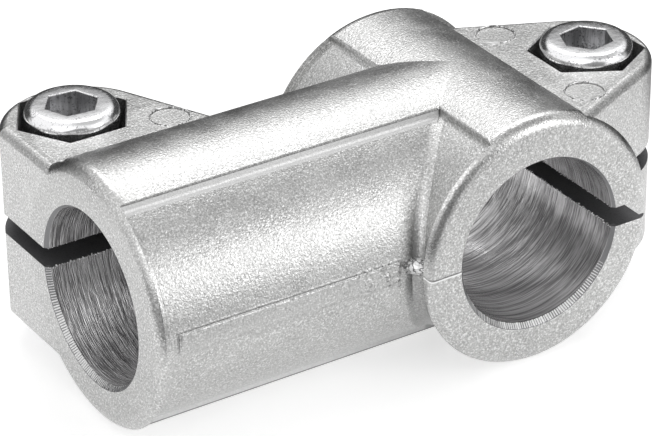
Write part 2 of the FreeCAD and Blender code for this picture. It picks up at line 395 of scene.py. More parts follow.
def build_zone_group():
    """Where the casting is bored, chamfered or sawn, from the place on it in millimetres."""
    net, given = new_effect("machined zones", {"Position": VECTOR},
                            ["Through Bore", "Branch Bore", "Slit", "Mouth", "Rim"])
    x, y, z = net.split(given["Position"])
    off_through, off_branch = net.length(x, z), net.length(y, z)
    past_wall = net.above(x, BORE_RADIUS + 1)
    in_branch_lug = net.times(net.below(y, -SLIT_INNER), net.above(x, BRANCH_SLIT_START - 0.01))
    in_lug = net.larger(net.below(x, -SLIT_INNER), in_branch_lug)

    def chamfered(distance, place, end):
        """Between the bore and the chamfer's outer edge, and below the end face."""
        widest = BORE_RADIUS + CHAMFER + CHAMFER_DROP + 0.1
        ring = net.times(net.above(distance, BORE_LIMIT), net.below(distance, widest))
        deep = net.times(net.below(place, end - 0.004), net.above(place, end - 1.0))
        return net.times(ring, deep)

    def rounded(distance, place, end):
        """On the rounding of an open end and the outer part of its face."""
        start, inner = end - END_ROUNDING, BAND_RADIUS - 2.5
        return net.times(net.ramp(place, start, start + 0.2),
                         net.ramp(distance, inner, inner + 0.3))

    through_end = (off_through, net.absolute(y), THROUGH_HALF)
    branch_end = (off_branch, x, BRANCH_REACH)
    net.finish(Through_Bore=net.below(off_through, BORE_LIMIT),
               Branch_Bore=net.times(past_wall, net.below(off_branch, BORE_LIMIT)),
               Slit=net.times(net.below(net.absolute(z), SLIT_LIMIT), in_lug),
               Mouth=net.larger(chamfered(*through_end), chamfered(*branch_end)),
               Rim=net.larger(rounded(*through_end), rounded(*branch_end)))


def build_line_group():
    """Parting line of the mould, a dark line along the raised bands' edges, painted highlight on
    their walls, and painted shade along the mitre and in the corners by the bead.
    """
    net, given = new_effect("lines and painted shade", {"Position": VECTOR},
                            ["Seam", "Seam Lip", "Step", "Step Wall", "Mitre", "Shade"])
    x, y, z = net.split(given["Position"])
    across, height = net.absolute(y), net.absolute(z)

    # Parting line at the branch side of the through sleeve's open ends
    wander = net.noise(net.scale(given["Position"], 0.35), 1.0, 1.0)
    level = net.plus(net.times_plus(wander, 0.5, -0.85), net.ramp(across, 24.9, 23.9, 0.0, 0.75))
    over_seam = net.minus(z, level)
    near_end = net.times(net.above(across, 21.4), net.math("COMPARE", x, 19.0, 4.1))
    hairline = net.ramp(net.absolute(over_seam), 0.2, 0.08)
    lip = net.times(net.ramp(over_seam, -0.1, -0.2), net.ramp(over_seam, -0.6, -0.3))

    # Dark line along the edge of the branch sleeve's raised bands, and painted highlight on
    # their walls
    on_branch = net.times(net.above(x, 9.5), net.below(x, BRANCH_REACH - 1.1))
    off_edge = net.length(net.minus(across, 9.15), net.minus(height, 20.5))
    beside_band = net.times(net.ramp(across, 10.2, 9.9), net.ramp(across, 9.18, 9.24))
    on_wall = net.times(net.ramp(height, 18.7, 18.9), net.ramp(height, 20.5, 20.3))

    # Painted shade along the mitre where the sleeves meet, and in the corner above and under the
    # bead
    past_mitre = net.minus(x, across)
    off_mitre = net.absolute(past_mitre)
    in_corner = net.times(net.above(x, 9.0), net.below(x, BORE_RADIUS + 9))
    sharp = net.times(net.ramp(height, 18.3, 19.2), net.ramp(off_mitre, 0.22, 0.08))
    above_bead = net.times(net.ramp(z, 13.0, 4.0), net.ramp(past_mitre, -0.05, 0.12),
                           net.ramp(past_mitre, 2.8, 0.4))
    under_bead = net.times(net.ramp(z, 0.2, -1.4), net.ramp(off_mitre, 3.0, 2.3))

    net.finish(Seam=net.times(hairline, near_end), Seam_Lip=net.times(lip, near_end),
               Step=net.times(net.ramp(off_edge, 0.24, 0.1), on_branch),
               Step_Wall=net.times(beside_band, on_wall, on_branch),
               Mitre=net.times(sharp, in_corner),
               Shade=net.times(net.larger(above_bead, under_bead), in_corner))


# Materials

def new_material(name, metallic, roughness):
    """Material, its network and the place on a piece in millimetres."""
    material = bpy.data.materials.new(name)
    material.use_nodes = True
    net = Network(material.node_tree)
    shader = material.node_tree.nodes["Principled BSDF"].inputs
    shader["Metallic"].default_value = metallic
    shader["Roughness"].default_value = roughness
    position = net.scale(net.add("ShaderNodeTexCoord").outputs["Object"], 1 / MM)
    return material, net, position


def finish_material(net, colour, height, normal=None, **others):
    """Puts the colour, the bump and any other values on the material's shader."""
    shader = net.tree.nodes["Principled BSDF"].inputs
    net.put(colour, shader["Base Color"])
    net.put(net.bump(height, normal), shader["Normal"])
    for label, value in others.items():
        net.put(value, shader[label])


def blasted_casting(look):
    """Blasted aluminium skin, turned bores and sawn slits."""
    material, net, position = new_material("blasted aluminium casting", 1.0, 0.4)
    zones = net.group("machined zones", Position=position)
    marks = net.group("lines and painted shade", Position=position)
    grain = net.group("blasted grain", Position=position,
                      Size=look.grain_size, Depth=look.grain_depth)
    edges = net.group("softened edges", Reach=0.16 * MM, Position=position)
    x, y, z = net.split(position)
    in_branch = net.group("tool lines", Along=x, Round=net.vector(0.0, y, z), Lines=4.6)
    in_through = net.group("tool lines", Along=y, Round=net.vector(x, 0.0, z), Lines=3.1)
    lines, line_tone = (net.mix(zones["Branch Bore"], in_through[label], in_branch[label])
                        for label in ("Height", "Tone"))
    bore = net.larger(zones["Through Bore"], zones["Branch Bore"])
    machined = net.larger(bore, zones["Slit"])

    facing = net.add("ShaderNodeLayerWeight").outputs["Facing"]
    # Painted shade on the tops of the sleeves, where they turn away from the camera
    painted_grazing_shade = net.times(net.ramp(facing, 0.5, 0.8), net.ramp(z, 16.0, 19.0))
    skin = net.layers(look.skin_colour, [
        (painted_grazing_shade, 0.55, 0.2),
        # The grain's specks, painted as dark reflections and glints of the blasted facets
        (grain["Dark"], 0.6, 0.27),
        (grain["Bright"], 0.7, look.fresh_and_highlight_colour),
        (grain["Clouds"], 0.15, (0.80, 0.80, 0.79)),
        (edges["Wear"], 0.7, look.fresh_and_highlight_colour)])
    bored = net.blend(line_tone, (0.3, 0.295, 0.3), look.bore_colour)
    bored = net.layers(bored, [(zones["Through Bore"], 0.08, 0.1)])
    sawn = net.layers(look.slit_colour, [(grain["Dark"], 0.6, 0.1)])
    dark_lines_and_crease_shade = net.larger(net.times(net.larger(marks["Seam"], marks["Step"]), 0.7),
                            net.times(marks["Mitre"], 0.6))
    colour = net.layers(net.blend(bore, skin, bored), [
        (zones["Slit"], 1.0, sawn),
        # Painted shade on the chamfers of the open bores
        (zones["Mouth"], 1.0, (0.24, 0.24, 0.245)),
        # Painted highlight on the walls of the raised bands
        (marks["Step Wall"], 0.8, look.fresh_and_highlight_colour),
        (marks["Seam Lip"], 1.0, look.fresh_and_highlight_colour),
        # Dark parting and band lines with painted shade along the mitre, then painted shade in
        # the corners by the bead
        (dark_lines_and_crease_shade, 1.0, 0.08),
        (marks["Shade"], 0.45, 0.16)])

    rough = net.times_plus(grain["Clouds"], 0.08, look.skin_roughness - 0.04)
    rough = net.times_plus(edges["Wear"], -0.1, rough)
    turned = net.mix(zones["Through Bore"], 0.24, 0.17)
    rough = net.mix(bore, rough, net.times_plus(line_tone, -0.06, turned))
    rough = net.times_plus(zones["Rim"], -0.08, rough)
    rough = net.mix(zones["Slit"], rough, 0.6)
    rough = net.mix(zones["Mouth"], rough, 0.45)
    # The band walls are also made less metallic, so that their painted highlight shows
    dull = net.larger(net.times(machined, 0.4), net.times(marks["Step Wall"], 0.75))

    smooth = net.larger(machined, net.times(zones["Rim"], 0.3))
    cast_height = net.times(grain["Height"], net.minus(1.0, smooth))
    cut_depth = net.mix(zones["Through Bore"], 0.19, 0.085)
    height = net.plus(cast_height, net.times(lines, bore, cut_depth))
    finish_material(net, colour, height, edges["Normal"], Roughness=rough,
                    Metallic=net.minus(1.0, dull))
    return material


def bright_plating(colour):
    """Bright plating of the screws, with dark specks where it is thin."""
    material, net, position = new_material("bright plated steel", 1.0, 0.15)
    edges = net.group("softened edges", Reach=0.2 * MM, Position=position)
    fine = net.noise(position, 2.6, 3.0, 0.7)
    broad = net.noise(position, 0.45, 2.0)
    specks = net.ramp(net.times_plus(broad, 0.45, fine), 0.79, 0.85)
    worn = net.times(edges["Wear"], net.ramp(fine, 0.45, 0.6))
    dark = net.larger(net.times(specks, 0.7), net.times(worn, 0.6))
    plated = net.blend(dark, colour, (0.2, 0.2, 0.21))
    streaks = net.noise(net.stretch(position, (2.6, 2.6, 0.25)), 1.0, 3.0)
    # Painted shade: the socket walls are darker, with vertical broaching streaks painted lighter
    # as highlights
    socket_shade_and_streaks = net.blend(net.ramp(streaks, 0.35, 0.65), (0.5, 0.5, 0.505), (0.72, 0.72, 0.73))
    socket_shade_and_streaks = net.layers(socket_shade_and_streaks, [(specks, 0.8, (0.16, 0.16, 0.165))])
    inside = net.attribute("socket")
    height = net.times(net.noise(position, 0.9, 2.0), 0.016)
    finish_material(net, net.blend(inside, plated, socket_shade_and_streaks), height, edges["Normal"],
                    Roughness=net.mix(inside, net.times_plus(dark, 0.3, 0.13), 0.3))
    return material


def nut_plating():
    """Duller zinc plating of the nuts, with forging marks."""
    material, net, position = new_material("zinc plated steel", 1.0, 0.35)
    edges = net.group("softened edges", Reach=0.25 * MM, Position=position)
    grain = net.group("blasted grain", Position=position, Size=0.7, Depth=0.015)
    tint = net.blend(grain["Clouds"], (0.60, 0.60, 0.62), (0.72, 0.72, 0.74))
    tint = net.blend(edges["Wear"], tint, (0.85, 0.85, 0.86))
    finish_material(net, tint, grain["Height"], edges["Normal"],
                    Roughness=net.times_plus(grain["Clouds"], 0.12, 0.3))
    return material


def crumpled_metal():
    """Bright aluminium squeezed into folds, with painted shade in the folds, for the bead and
    the ejector rings.
    """
    material, net, position = new_material("crumpled aluminium", 1.0, 0.36)
    folds = net.noise(position, 0.7, 2.0, 0.6)
    open_metal = net.ramp(net.absolute(net.minus(folds, 0.5)), 0.01, 0.05)
    # Painted shade in the folds
    finish_material(net, net.blend(open_metal, 0.2, 0.72), net.times(open_metal, 0.14))
    return material


def fresh_metal(look):
    """Bright aluminium where a tool has torn or cut it."""
    material, net, position = new_material("fresh cut aluminium", 0.5, 0.42)
    shade = net.noise(position, 2.2, 2.0)
    dull = tuple(0.85 * part for part in look.fresh_and_highlight_colour)
    finish_material(net, net.blend(net.ramp(shade, 0.35, 0.65), dull, look.fresh_and_highlight_colour),
                    net.times(net.noise(position, 3.5, 1.0), 0.02),
                    Roughness=net.times_plus(shade, 0.2, 0.32))
    return material


def trimmed_skin(look):
    """Cast skin that was dressed with a trimming tool, with painted shade in the groove round
    the scar and in its pits.
    """
    material, net, position = new_material("trimmed cast skin", 1.0, 0.45)
    grain = net.group("blasted grain", Position=position,
                      Size=look.grain_size, Depth=look.grain_depth)
    drawn = net.noise(net.stretch(position, (0.25, 1.0, 2.5)), 1.0, 3.0)
    tint = net.layers(look.skin_colour, [
        # The grain's specks, painted as dark reflections and glints of the blasted facets
        (grain["Dark"], 0.45, 0.3),
        (grain["Bright"], 0.5, look.fresh_and_highlight_colour),
        (drawn, 0.15, (0.8, 0.8, 0.79)),
        # Painted shade in the scar's groove and pits, which the torn attribute carries
        (net.attribute("torn"), 0.85, 0.06)])
    finish_material(net, tint, net.times_plus(drawn, 0.03, grain["Height"]),
                    Roughness=net.times_plus(drawn, 0.1, 0.33))
    return material


# Meshes

def make_piece(name, points, faces, material, sharp_angle=35.0):
    """Mesh object at the origin from points in millimetres."""
    mesh = bpy.data.meshes.new(name)
    mesh.from_pydata([Vector(p) * MM for p in points], [], faces)
    mesh.validate()
    mesh.shade_smooth()
    mesh.set_sharp_from_angle(angle=math.radians(sharp_angle))
    mesh.materials.append(material)
    piece = bpy.data.objects.new(name, mesh)
    bpy.context.scene.collection.objects.link(piece)
    return piece


def mark_points(piece, name, values):
    """Vertex attribute that a material reads; points past the last value stay at zero."""
    marks = piece.data.attributes.new(name, "FLOAT", "POINT")
    for i, value in enumerate(values):
        marks.data[i].value = value


def stacked_rings(rings, first_pole, last_pole):
    """Closed mesh of rings of equally many points, with a pole at each end.

    The rings run anticlockwise seen from the last pole.
    """
    count = len(rings[0])
    points = [first_pole]
    for ring in rings:
        points.extend(ring)
    points.append(last_pole)
    faces = []
    for k in range(count):
        after = (k + 1) % count
        faces.append((0, 1 + after, 1 + k))
        for row in range(len(rings) - 1):
            low = 1 + row * count
            high = low + count
            faces.append((low + k, low + after, high + after, high + k))
        top = 1 + (len(rings) - 1) * count
        faces.append((top + k, top + after, len(points) - 1))
    return points, faces


def screw_rings(sizes, turn):
    """Rings of a socket head screw about z, from its tip up and into its socket.

    Also gives the two poles, and how many rings come before the socket's inside.
    """
    count = 72
    angles = [math.radians(turn + 360 / count * k) for k in range(count)]
    radius = sizes.head_diameter / MM / 2
    shank = sizes.thread_diameter / MM / 2
    crown = SEAT_LEVEL + sizes.head_height / MM
    tip = SEAT_LEVEL - sizes.length / MM
    pitch = sizes.thread_pitch / MM
    flat = sizes.socket_flats / MM / 2
    depth = 0.6 * pitch           # of the thread
    bevel = 0.14                  # round the socket
    dish = 0.9                    # depth of the drilled cone in the socket's floor
    rings = []

    def at(size, angle, level):
        return (size * math.cos(angle), size * math.sin(angle), level)

    def ring(size, level):
        rings.append([at(size, a, level) for a in angles])

    def hexagon(angle):
        """Distance from the axis to the socket's flats."""
        part = math.degrees(angle) - turn
        return flat / math.cos(math.radians(part % 60 - 30))

    # Thread, from a chamfered tip to a plain neck
    core = shank - depth - 0.1
    ring(2.0, tip)
    ring(core, tip)
    rows_per_pitch = 10
    level = tip + 0.08
    neck = SEAT_LEVEL - 1.2
    while level < neck:
        row = []
        for k, a in enumerate(angles):
            phase = (level / pitch - k / count) % 1
            groove = max(0.0, 1 - abs(phase - 0.5) / 0.42)
            groove = min(groove, 0.86) / 0.86
            size = shank - depth * groove * min(1.0, (neck - level) / (0.8 * pitch))
            row.append(at(min(size, core + level - tip), a, level))
        rings.append(row)
        level += pitch / rows_per_pitch

    # Neck, underside and side of the head, and its rounded top
    for size, level in ((shank, neck), (shank, SEAT_LEVEL - 0.1), (shank + 0.1, SEAT_LEVEL),
                        (radius - 0.5, SEAT_LEVEL), (radius - 0.35, SEAT_LEVEL),
                        (radius, SEAT_LEVEL + 0.35), (radius, SEAT_LEVEL + 0.6),
                        (radius, crown - HEAD_ROUNDING - 0.2)):
        ring(size, level)
    for step in range(9):
        angle = math.radians(90 * step / 8)
        ring(radius - HEAD_ROUNDING * (1 - math.cos(angle)),
             crown - HEAD_ROUNDING * (1 - math.sin(angle)))

    # Socket: its bevel, its flats and its dished floor
    socket = [(hexagon(a), a) for a in angles]
    for edge in (0.5, bevel):
        rings.append([at(size + edge, a, crown) for size, a in socket])
    inside = len(rings)
    start, floor = crown - bevel, crown - SOCKET_DEPTH
    for share in (0.0, 0.08, 0.5, 1.0):
        rings.append([at(size, a, start + (floor - start) * share) for size, a in socket])
    for share in (0.93, 0.5):
        rings.append([at(share * size, a, floor - dish * (1 - share)) for size, a in socket])
    return rings, (0, 0, tip), (0, 0, floor - dish), inside


def scar_patch(seed):
    """Thin closed patch where the runner was trimmed off, with a torn groove round it.

    Also gives the painted shade of each point of its front, from zero to one, in the groove and
    in the pits.
    """
    pitch = 0.2
    margin = 0.9                  # of plain skin round the scar
    ragged = 0.7                  # more room under its ragged lower edge
    start, end = SIDE_RADIUS + SCAR_MARGIN, BRANCH_REACH - SCAR_MARGIN
    low, high = SCAR_LEVEL - SCAR_HALF, SCAR_LEVEL + SCAR_HALF
    columns = int((end - start + 2 * margin) / pitch)
    rows = int((high - low + 2 * margin + ragged) / pitch)
    front, back, painted_groove_shade = [], [], []
    for i in range(columns + 1):
        x = start - margin + i * pitch
        crumbled = max(0.0, 1 - (x - start) / 12)
        torn = noise.noise((x * 0.3, seed, 0.0)) * 1.3
        chip = max(0.0, noise.noise((x * 1.1, seed, 4.0))) * 0.8
        bottom = low - 0.1 + min(0.0, torn) - chip
        top = high + noise.noise((x * 0.5, 2.0, seed)) * 0.08
        faded = 0.5 + 0.5 * noise.noise((x * 0.22, 31.0, seed))
        for j in range(rows + 1):
            z = low - margin - ragged + j * pitch
            left = start + noise.noise((z * 1.1, seed, 9.0)) * 0.3
            right = end + noise.noise((z * 1.1, seed, 12.0)) * 0.3
            inside = min(x - left, right - x, z - bottom, top - z)
            lower_side = z - bottom < 0.6 and z - bottom < top - z

            # The strip itself, pitted, with lumps where it crumbled, and faded out round it
            lump = noise.noise((x * 1.3, z * 1.7, 40.0))
            height = 0.2 + 0.03 * noise.noise((x * 0.8, z * 1.4, seed))
            height -= max(0.0, noise.noise((x * 1.5, z * 2.1, 20.0)) - 0.4) * 0.5
            height += crumbled * 0.5 * lump
            if inside <= 0:
                height = height * max(0.0, 1 + inside / 0.6) ** 1.5 - 0.02

            # The groove round it, and painted shade in the groove and in the pits
            groove = max(0.0, 1 - abs(inside - 0.05) / 0.2)
            height -= groove * 0.22 * (faded if lower_side else 1.0)
            edge = max(0.0, 1 - abs(inside + 0.05) / 0.32)
            edge *= 0.35 * faded if lower_side else 0.75
            pit_shade = crumbled * max(0.0, -lump - 0.08) * 3.5 if inside > 0 else 0.0
            painted_groove_shade.append(min(1.0, max(edge, pit_shade)))

            reach = SIDE_RADIUS + max(height, -0.05)
            front.append((x, math.sqrt(reach ** 2 - z * z), z))
            back.append((x, math.sqrt((SIDE_RADIUS - 0.4) ** 2 - z * z), z))
    return front + back, patch_faces(columns, rows), painted_groove_shade


def patch_faces(columns, rows):
    """Faces of a closed patch whose front points, column by column, come before its back's."""
    wide = rows + 1
    count = (columns + 1) * wide
    faces = []
    for i in range(columns):
        for j in range(rows):
            a, b = i * wide + j, i * wide + j + 1
            c, d = (i + 1) * wide + j + 1, (i + 1) * wide + j
            faces.append((a, b, c, d))
            faces.append((count + d, count + c, count + b, count + a))
    border = [i * wide for i in range(columns + 1)]
    border += [columns * wide + j for j in range(1, wide)]
    border += [i * wide + rows for i in range(columns - 1, -1, -1)]
    border += list(range(rows - 1, 0, -1))
    for here, there in zip(border, border[1:] + border[:1]):
        faces.append((here, there, count + there, count + here))
    return faces


def lumpy_bead(centre, half_sizes, seed):
    """Small irregular bead of metal; half_sizes are out of the corner, across it and up."""
    out, across = Vector((1, 1, 0)).normalized(), Vector((1, -1, 0)).normalized()
    deep, wide, tall = half_sizes
    rings = []
    count, rows = 40, 26
    for row in range(1, rows):
        polar = math.pi * row / rows
        ring = []
        for k in range(count):
            angle = 2 * math.pi * k / count
            way = Vector((math.sin(polar) * math.cos(angle),
                          math.sin(polar) * math.sin(angle), -math.cos(polar)))
            reach = (1 + 0.22 * noise.noise(way * 1.9 + Vector((seed, 0, 0)))
                     + 0.16 * noise.noise(way * 4.5))
            ring.append(Vector(centre) + out * (way.x * deep * reach)
                        + across * (way.y * wide * reach)
                        + Vector((0, 0, way.z * tall * reach)))
        rings.append(ring)
    poles = [Vector(centre) + Vector((0, 0, side * tall)) for side in (-1, 1)]
    return stacked_rings(rings, poles[0], poles[1])


def seam_ridge(path, width, height, seed):
    """Thin ridge of flash along a path; each point comes with its outward way."""
    foot = 0.1                    # how deep the ridge stands in the skin
    points, faces = [], []
    for i, (place, outward) in enumerate(path):
        ahead = Vector(path[min(i + 1, len(path) - 1)][0])
        behind = Vector(path[max(i - 1, 0)][0])
        along = (ahead - behind).normalized()
        out = Vector(outward).normalized()
        across = along.cross(out).normalized()
        rise = height * (0.75 + 0.5 * noise.noise((i * 0.3, seed, 0.0)))
        side = across * (width * (1 + 0.4 * noise.noise((i * 0.23, 0.0, seed))) / 2)
        centre = Vector(place)
        points += [centre + side - out * foot, centre + side * 0.5 + out * rise,
                   centre - side * 0.5 + out * rise, centre - side - out * foot]
    for i in range(len(path) - 1):
        for k in range(4):
            after = (k + 1) % 4
            faces.append((4 * i + k, 4 * i + after, 4 * i + 4 + after, 4 * i + 4 + k))
    last = 4 * (len(path) - 1)
    faces.append((3, 2, 1, 0))
    faces.append((last, last + 1, last + 2, last + 3))
    return points, faces


# Geometry Nodes trees for what repeats

def new_geometry(name, inputs):
    return new_tree(name, "GeometryNodeTree", {**inputs, "Material": "NodeSocketMaterial"},
                    {"Geometry": "NodeSocketGeometry"})


def copies_on(net, points, piece, **values):
    """Copies of a piece on points, turned and scaled by values."""
    return net.add("GeometryNodeInstanceOnPoints", Points=points, Instance=piece,
                   **values).outputs["Instances"]


def finish_geometry(net, geometry, material):
    """Ends a tree in real geometry with its material."""
    real = net.add("GeometryNodeRealizeInstances", Geometry=geometry).outputs["Geometry"]
    painted = net.add("GeometryNodeSetMaterial", Geometry=real, Material=material)
    net.finish(Geometry=painted.outputs["Geometry"])


def chatter_tree():
    """Ridges across an off-centre chamfer in the XY plane, which are then set in place."""
    net, given = new_geometry("chatter ticks", {
        "Count": WHOLE, "Radius": FLOAT, "Middle": FLOAT, "Sweep": FLOAT, "Chamfer": FLOAT,
        "Drop": FLOAT, "Width": FLOAT, "Seed": WHOLE, "Turn": VECTOR, "Place": VECTOR})
    seed = given["Seed"]
    row = net.add("GeometryNodeMeshLine", Count=given["Count"]).outputs["Mesh"]
    index = net.add("GeometryNodeInputIndex").outputs[0]
    share = net.minus(net.math("DIVIDE", index, given["Count"]), 0.5)
    off_middle = net.times(share, given["Sweep"])
    angle = net.plus(off_middle, given["Middle"])
    chamfer = net.times_plus(net.math("COSINE", off_middle), given["Drop"], given["Chamfer"])

    # Each ridge leans across the chamfer and stays below the end face.
    middle = net.times_plus(chamfer, 0.44, given["Radius"])
    place = net.vector(net.times(net.math("COSINE", angle), middle),
                       net.times(net.math("SINE", angle), middle), net.times(chamfer, -0.6))
    spread = net.add("GeometryNodeSetPosition", Geometry=row, Position=place)
    tick = net.add("GeometryNodeMeshCube", Size=(1.0, 1.0, 1.0)).outputs["Mesh"]
    tilt = net.random(-0.82, -0.75, seed)
    lean = net.random(-0.12, 0.12, seed)
    length = net.times(chamfer, net.random(0.85, 1.02, seed), math.sqrt(2))
    swell = net.math("COSINE", net.times(share, 0.85 * math.pi))
    width = net.times(swell, given["Width"], net.random(0.6, 1.0, seed))
    ticks = copies_on(net, spread.outputs["Geometry"], tick,
                      Rotation=net.vector(0.0, tilt, net.plus(angle, lean)),
                      Scale=net.vector(length, width, 0.14 * MM))
    placed = net.add("GeometryNodeTransform", Geometry=ticks, Rotation=given["Turn"],
                     Translation=given["Place"])
    finish_geometry(net, placed.outputs["Geometry"], given["Material"])
    return net


def ring_tree():
    """Fine raised rings round the points of another object."""
    net, given = new_geometry("ejector rings", {
        "Places": "NodeSocketObject", "Radius": FLOAT, "Thickness": FLOAT})
    spots = net.add("GeometryNodeObjectInfo", Object=given["Places"]).outputs["Geometry"]
    circle, section = (net.add("GeometryNodeCurvePrimitiveCircle", Resolution=count,
                               Radius=radius).outputs["Curve"]
                       for count, radius in ((56, given["Radius"]), (6, given["Thickness"])))
    ring = net.add("GeometryNodeCurveToMesh", Curve=circle, Profile_Curve=section)
    finish_geometry(net, copies_on(net, spots, ring.outputs["Mesh"]), given["Material"])
    return net


def burr_tree():
    """Torn flakes of random size along a straight edge."""
    net, given = new_geometry("slit burrs", {
        "From": VECTOR, "To": VECTOR, "Count": WHOLE, "Size": FLOAT, "Seed": WHOLE})
    seed = given["Seed"]
    row = net.add("GeometryNodeMeshLine", settings={"mode": "END_POINTS"},
                  Start_Location=given["From"], Offset=given["To"], Count=given["Count"])
    shift = net.random((-0.12 * MM,) * 3, (0.12 * MM,) * 3, seed)
    loose = net.add("GeometryNodeSetPosition", Geometry=row.outputs["Mesh"], Offset=shift)
    flake = net.add("GeometryNodeMeshIcoSphere", Radius=0.5, Subdivisions=1).outputs["Mesh"]
    size = net.random((0.35, 0.5, 0.3), (1.0, 1.5, 1.1), seed)
    flakes = copies_on(net, loose.outputs["Geometry"], flake,
                       Rotation=net.random((-1.2,) * 3, (1.2,) * 3, seed),
                       Scale=net.scale(size, given["Size"]))
    finish_geometry(net, flakes, given["Material"])
    return net


def grown_mesh(net, values):
    """Evaluates a tree with the given inputs and returns a plain mesh."""
    carrier = bpy.data.objects.new("carrier", bpy.data.meshes.new("carrier"))
    bpy.context.scene.collection.objects.link(carrier)
    modifier = carrier.modifiers.new("grow", "NODES")
    modifier.node_group = net.tree
    for label, value in values.items():
        modifier[net.identifiers[label]] = value
    seen = carrier.evaluated_get(bpy.context.evaluated_depsgraph_get())
    mesh = bpy.data.meshes.new_from_object(seen)
    carrier.modifiers.clear()
    bpy.data.objects.remove(carrier)
    if not mesh.polygons:
        raise RuntimeError(net.tree.name + " grew no faces")
    return mesh


def joined_piece(name, meshes, material):
    """One object from several meshes that share a material."""
    points, faces = [], []
    for mesh in meshes:
        base = len(points)
        points.extend(v.co / MM for v in mesh.vertices)
        faces.extend(tuple(base + i for i in p.vertices) for p in mesh.polygons)
        bpy.data.meshes.remove(mesh)
    return make_piece(name, points, faces, material, sharp_angle=20.0)


# Operators

class CONNECTOR_OT_effects(bpy.types.Operator):
    """Build the shader groups that the finishes share"""

    bl_idname = "connector.effects"
    bl_label = "Shared effects"

    def execute(self, context):
        build_grain_group()
        build_tool_group()
        build_edge_group()
        build_zone_group()
        build_line_group()
        return {"FINISHED"}


class CONNECTOR_OT_casting(bpy.types.Operator):
    """Give the casting its blasted skin, turned bores and sawn slits"""

    bl_idname = "connector.casting"
    bl_label = "Casting finish"

    def execute(self, context):
        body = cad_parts["clamp_body"]
        body.data.materials.clear()
        body.data.materials.append(blasted_casting(context.scene.casting_look))
        return {"FINISHED"}


class CONNECTOR_OT_screws(bpy.types.Operator):
    """Make both clamp screws with their threads and sockets"""

    bl_idname = "connector.screws"
    bl_label = "Clamp screws"

    def execute(self, context):
        sizes = context.scene.screw_sizes
        plating = bright_plating(sizes.colour)
        for node, (x, y, turn) in SCREW_PLACES.items():
            rings, first, last, inside = screw_rings(sizes, turn)
            points, faces = stacked_rings(rings, first, last)
            placed = [(p[0] + x, p[1] + y, p[2]) for p in points]
            piece = make_piece(node + "_threaded", placed, faces, plating, sharp_angle=32.0)
            before = 1 + inside * len(rings[0])
            mark_points(piece, "socket", [0.0] * before + [1.0] * (len(points) - before))
            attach(piece, node)
            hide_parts(node)
        return {"FINISHED"}


class CONNECTOR_OT_nuts(bpy.types.Operator):
    """Give the nuts their zinc plating"""

    bl_idname = "connector.nuts"
    bl_label = "Nut finish"

    def execute(self, context):
        plating = nut_plating()
        for name in ("branch_nut", "through_nut"):
            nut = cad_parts[name]
            nut.data.materials.clear()
            nut.data.materials.append(plating)
        return {"FINISHED"}


class CONNECTOR_OT_scar(bpy.types.Operator):
    """Make the trimmed runner scar and the bead in the corner"""

    bl_idname = "connector.scar"
    bl_label = "Runner scar and bead"

    def execute(self, context):
        seed = context.scene.edge_marks.seed
        points, faces, painted_groove_shade = scar_patch(seed)
        skin = trimmed_skin(context.scene.casting_look)
        scar = make_piece("runner_scar", points, faces, skin, sharp_angle=50.0)
        # The torn attribute holds painted shade for the scar's groove and pits
        mark_points(scar, "torn", painted_groove_shade)
        corner = (SIDE_RADIUS + 1.1, SIDE_RADIUS + 0.6, SCAR_LEVEL + 0.5)
        points, faces = lumpy_bead(corner, half_sizes=(1.6, 2.3, 1.25), seed=seed)
        bead = make_piece("corner_bead", points, faces, crumpled_metal(), sharp_angle=60.0)
        for piece in (scar, bead):
            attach(piece, CASTING)
        return {"FINISHED"}


class CONNECTOR_OT_seams(bpy.types.Operator):
    """Make the flash along the parting line on the roundings of the through sleeve"""

    bl_idname = "connector.seams"
    bl_label = "Parting line"

    def execute(self, context):
        points, faces = [], []
        for side in (1, -1):
            ridge, ridge_faces = seam_ridge(self.path(side), width=0.16, height=0.05,
                                            seed=side * 3.0)
            base = len(points)
            points += ridge
            faces += [tuple(base + i for i in face) for face in ridge_faces]
        skin = bpy.data.materials["trimmed cast skin"]
        seam = make_piece("parting_flash", points, faces, skin, sharp_angle=60.0)
        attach(seam, CASTING)
        return {"FINISHED"}

    def path(self, side):
        """Points and outward ways over a rounding, at the level of the painted hairline."""
        path = []
        for i in range(6, 25):
            angle = math.radians(90 * i / 24)
            out = (math.sin(angle), side * math.cos(angle), 0)
            x = BAND_RADIUS - END_ROUNDING + END_ROUNDING * math.sin(angle)
            y = THROUGH_HALF - END_ROUNDING + END_ROUNDING * math.cos(angle)
            share = min(max(24.9 - y, 0.0), 1.0)
            level = -0.6 + 0.75 * share * share * (3 - 2 * share)
            path.append(((x, side * y, level), out))
        return path


class CONNECTOR_OT_rings(bpy.types.Operator):
    """Make the fine rings round the ejector marks on both faces of each lug"""

    bl_idname = "connector.rings"
    bl_label = "Ejector rings"

    def execute(self, context):
        material = bpy.data.materials["crumpled aluminium"]
        spots = bpy.data.meshes.new("spots")
        spots.from_pydata([Vector((x, y, side * LUG_TOP)) * MM for x, y in EJECTOR_MARKS
                           for side in (-1, 1)], [], [])
        carrier = bpy.data.objects.new("spots", spots)
        bpy.context.scene.collection.objects.link(carrier)
        mesh = grown_mesh(ring_tree(), {
            "Places": carrier, "Radius": (EJECTOR_RADIUS + 0.02) * MM, "Thickness": 0.15 * MM,
            "Material": material})
        bpy.data.objects.remove(carrier)
        piece = joined_piece("ejector_rings", [mesh], material)
        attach(piece, CASTING)
        return {"FINISHED"}


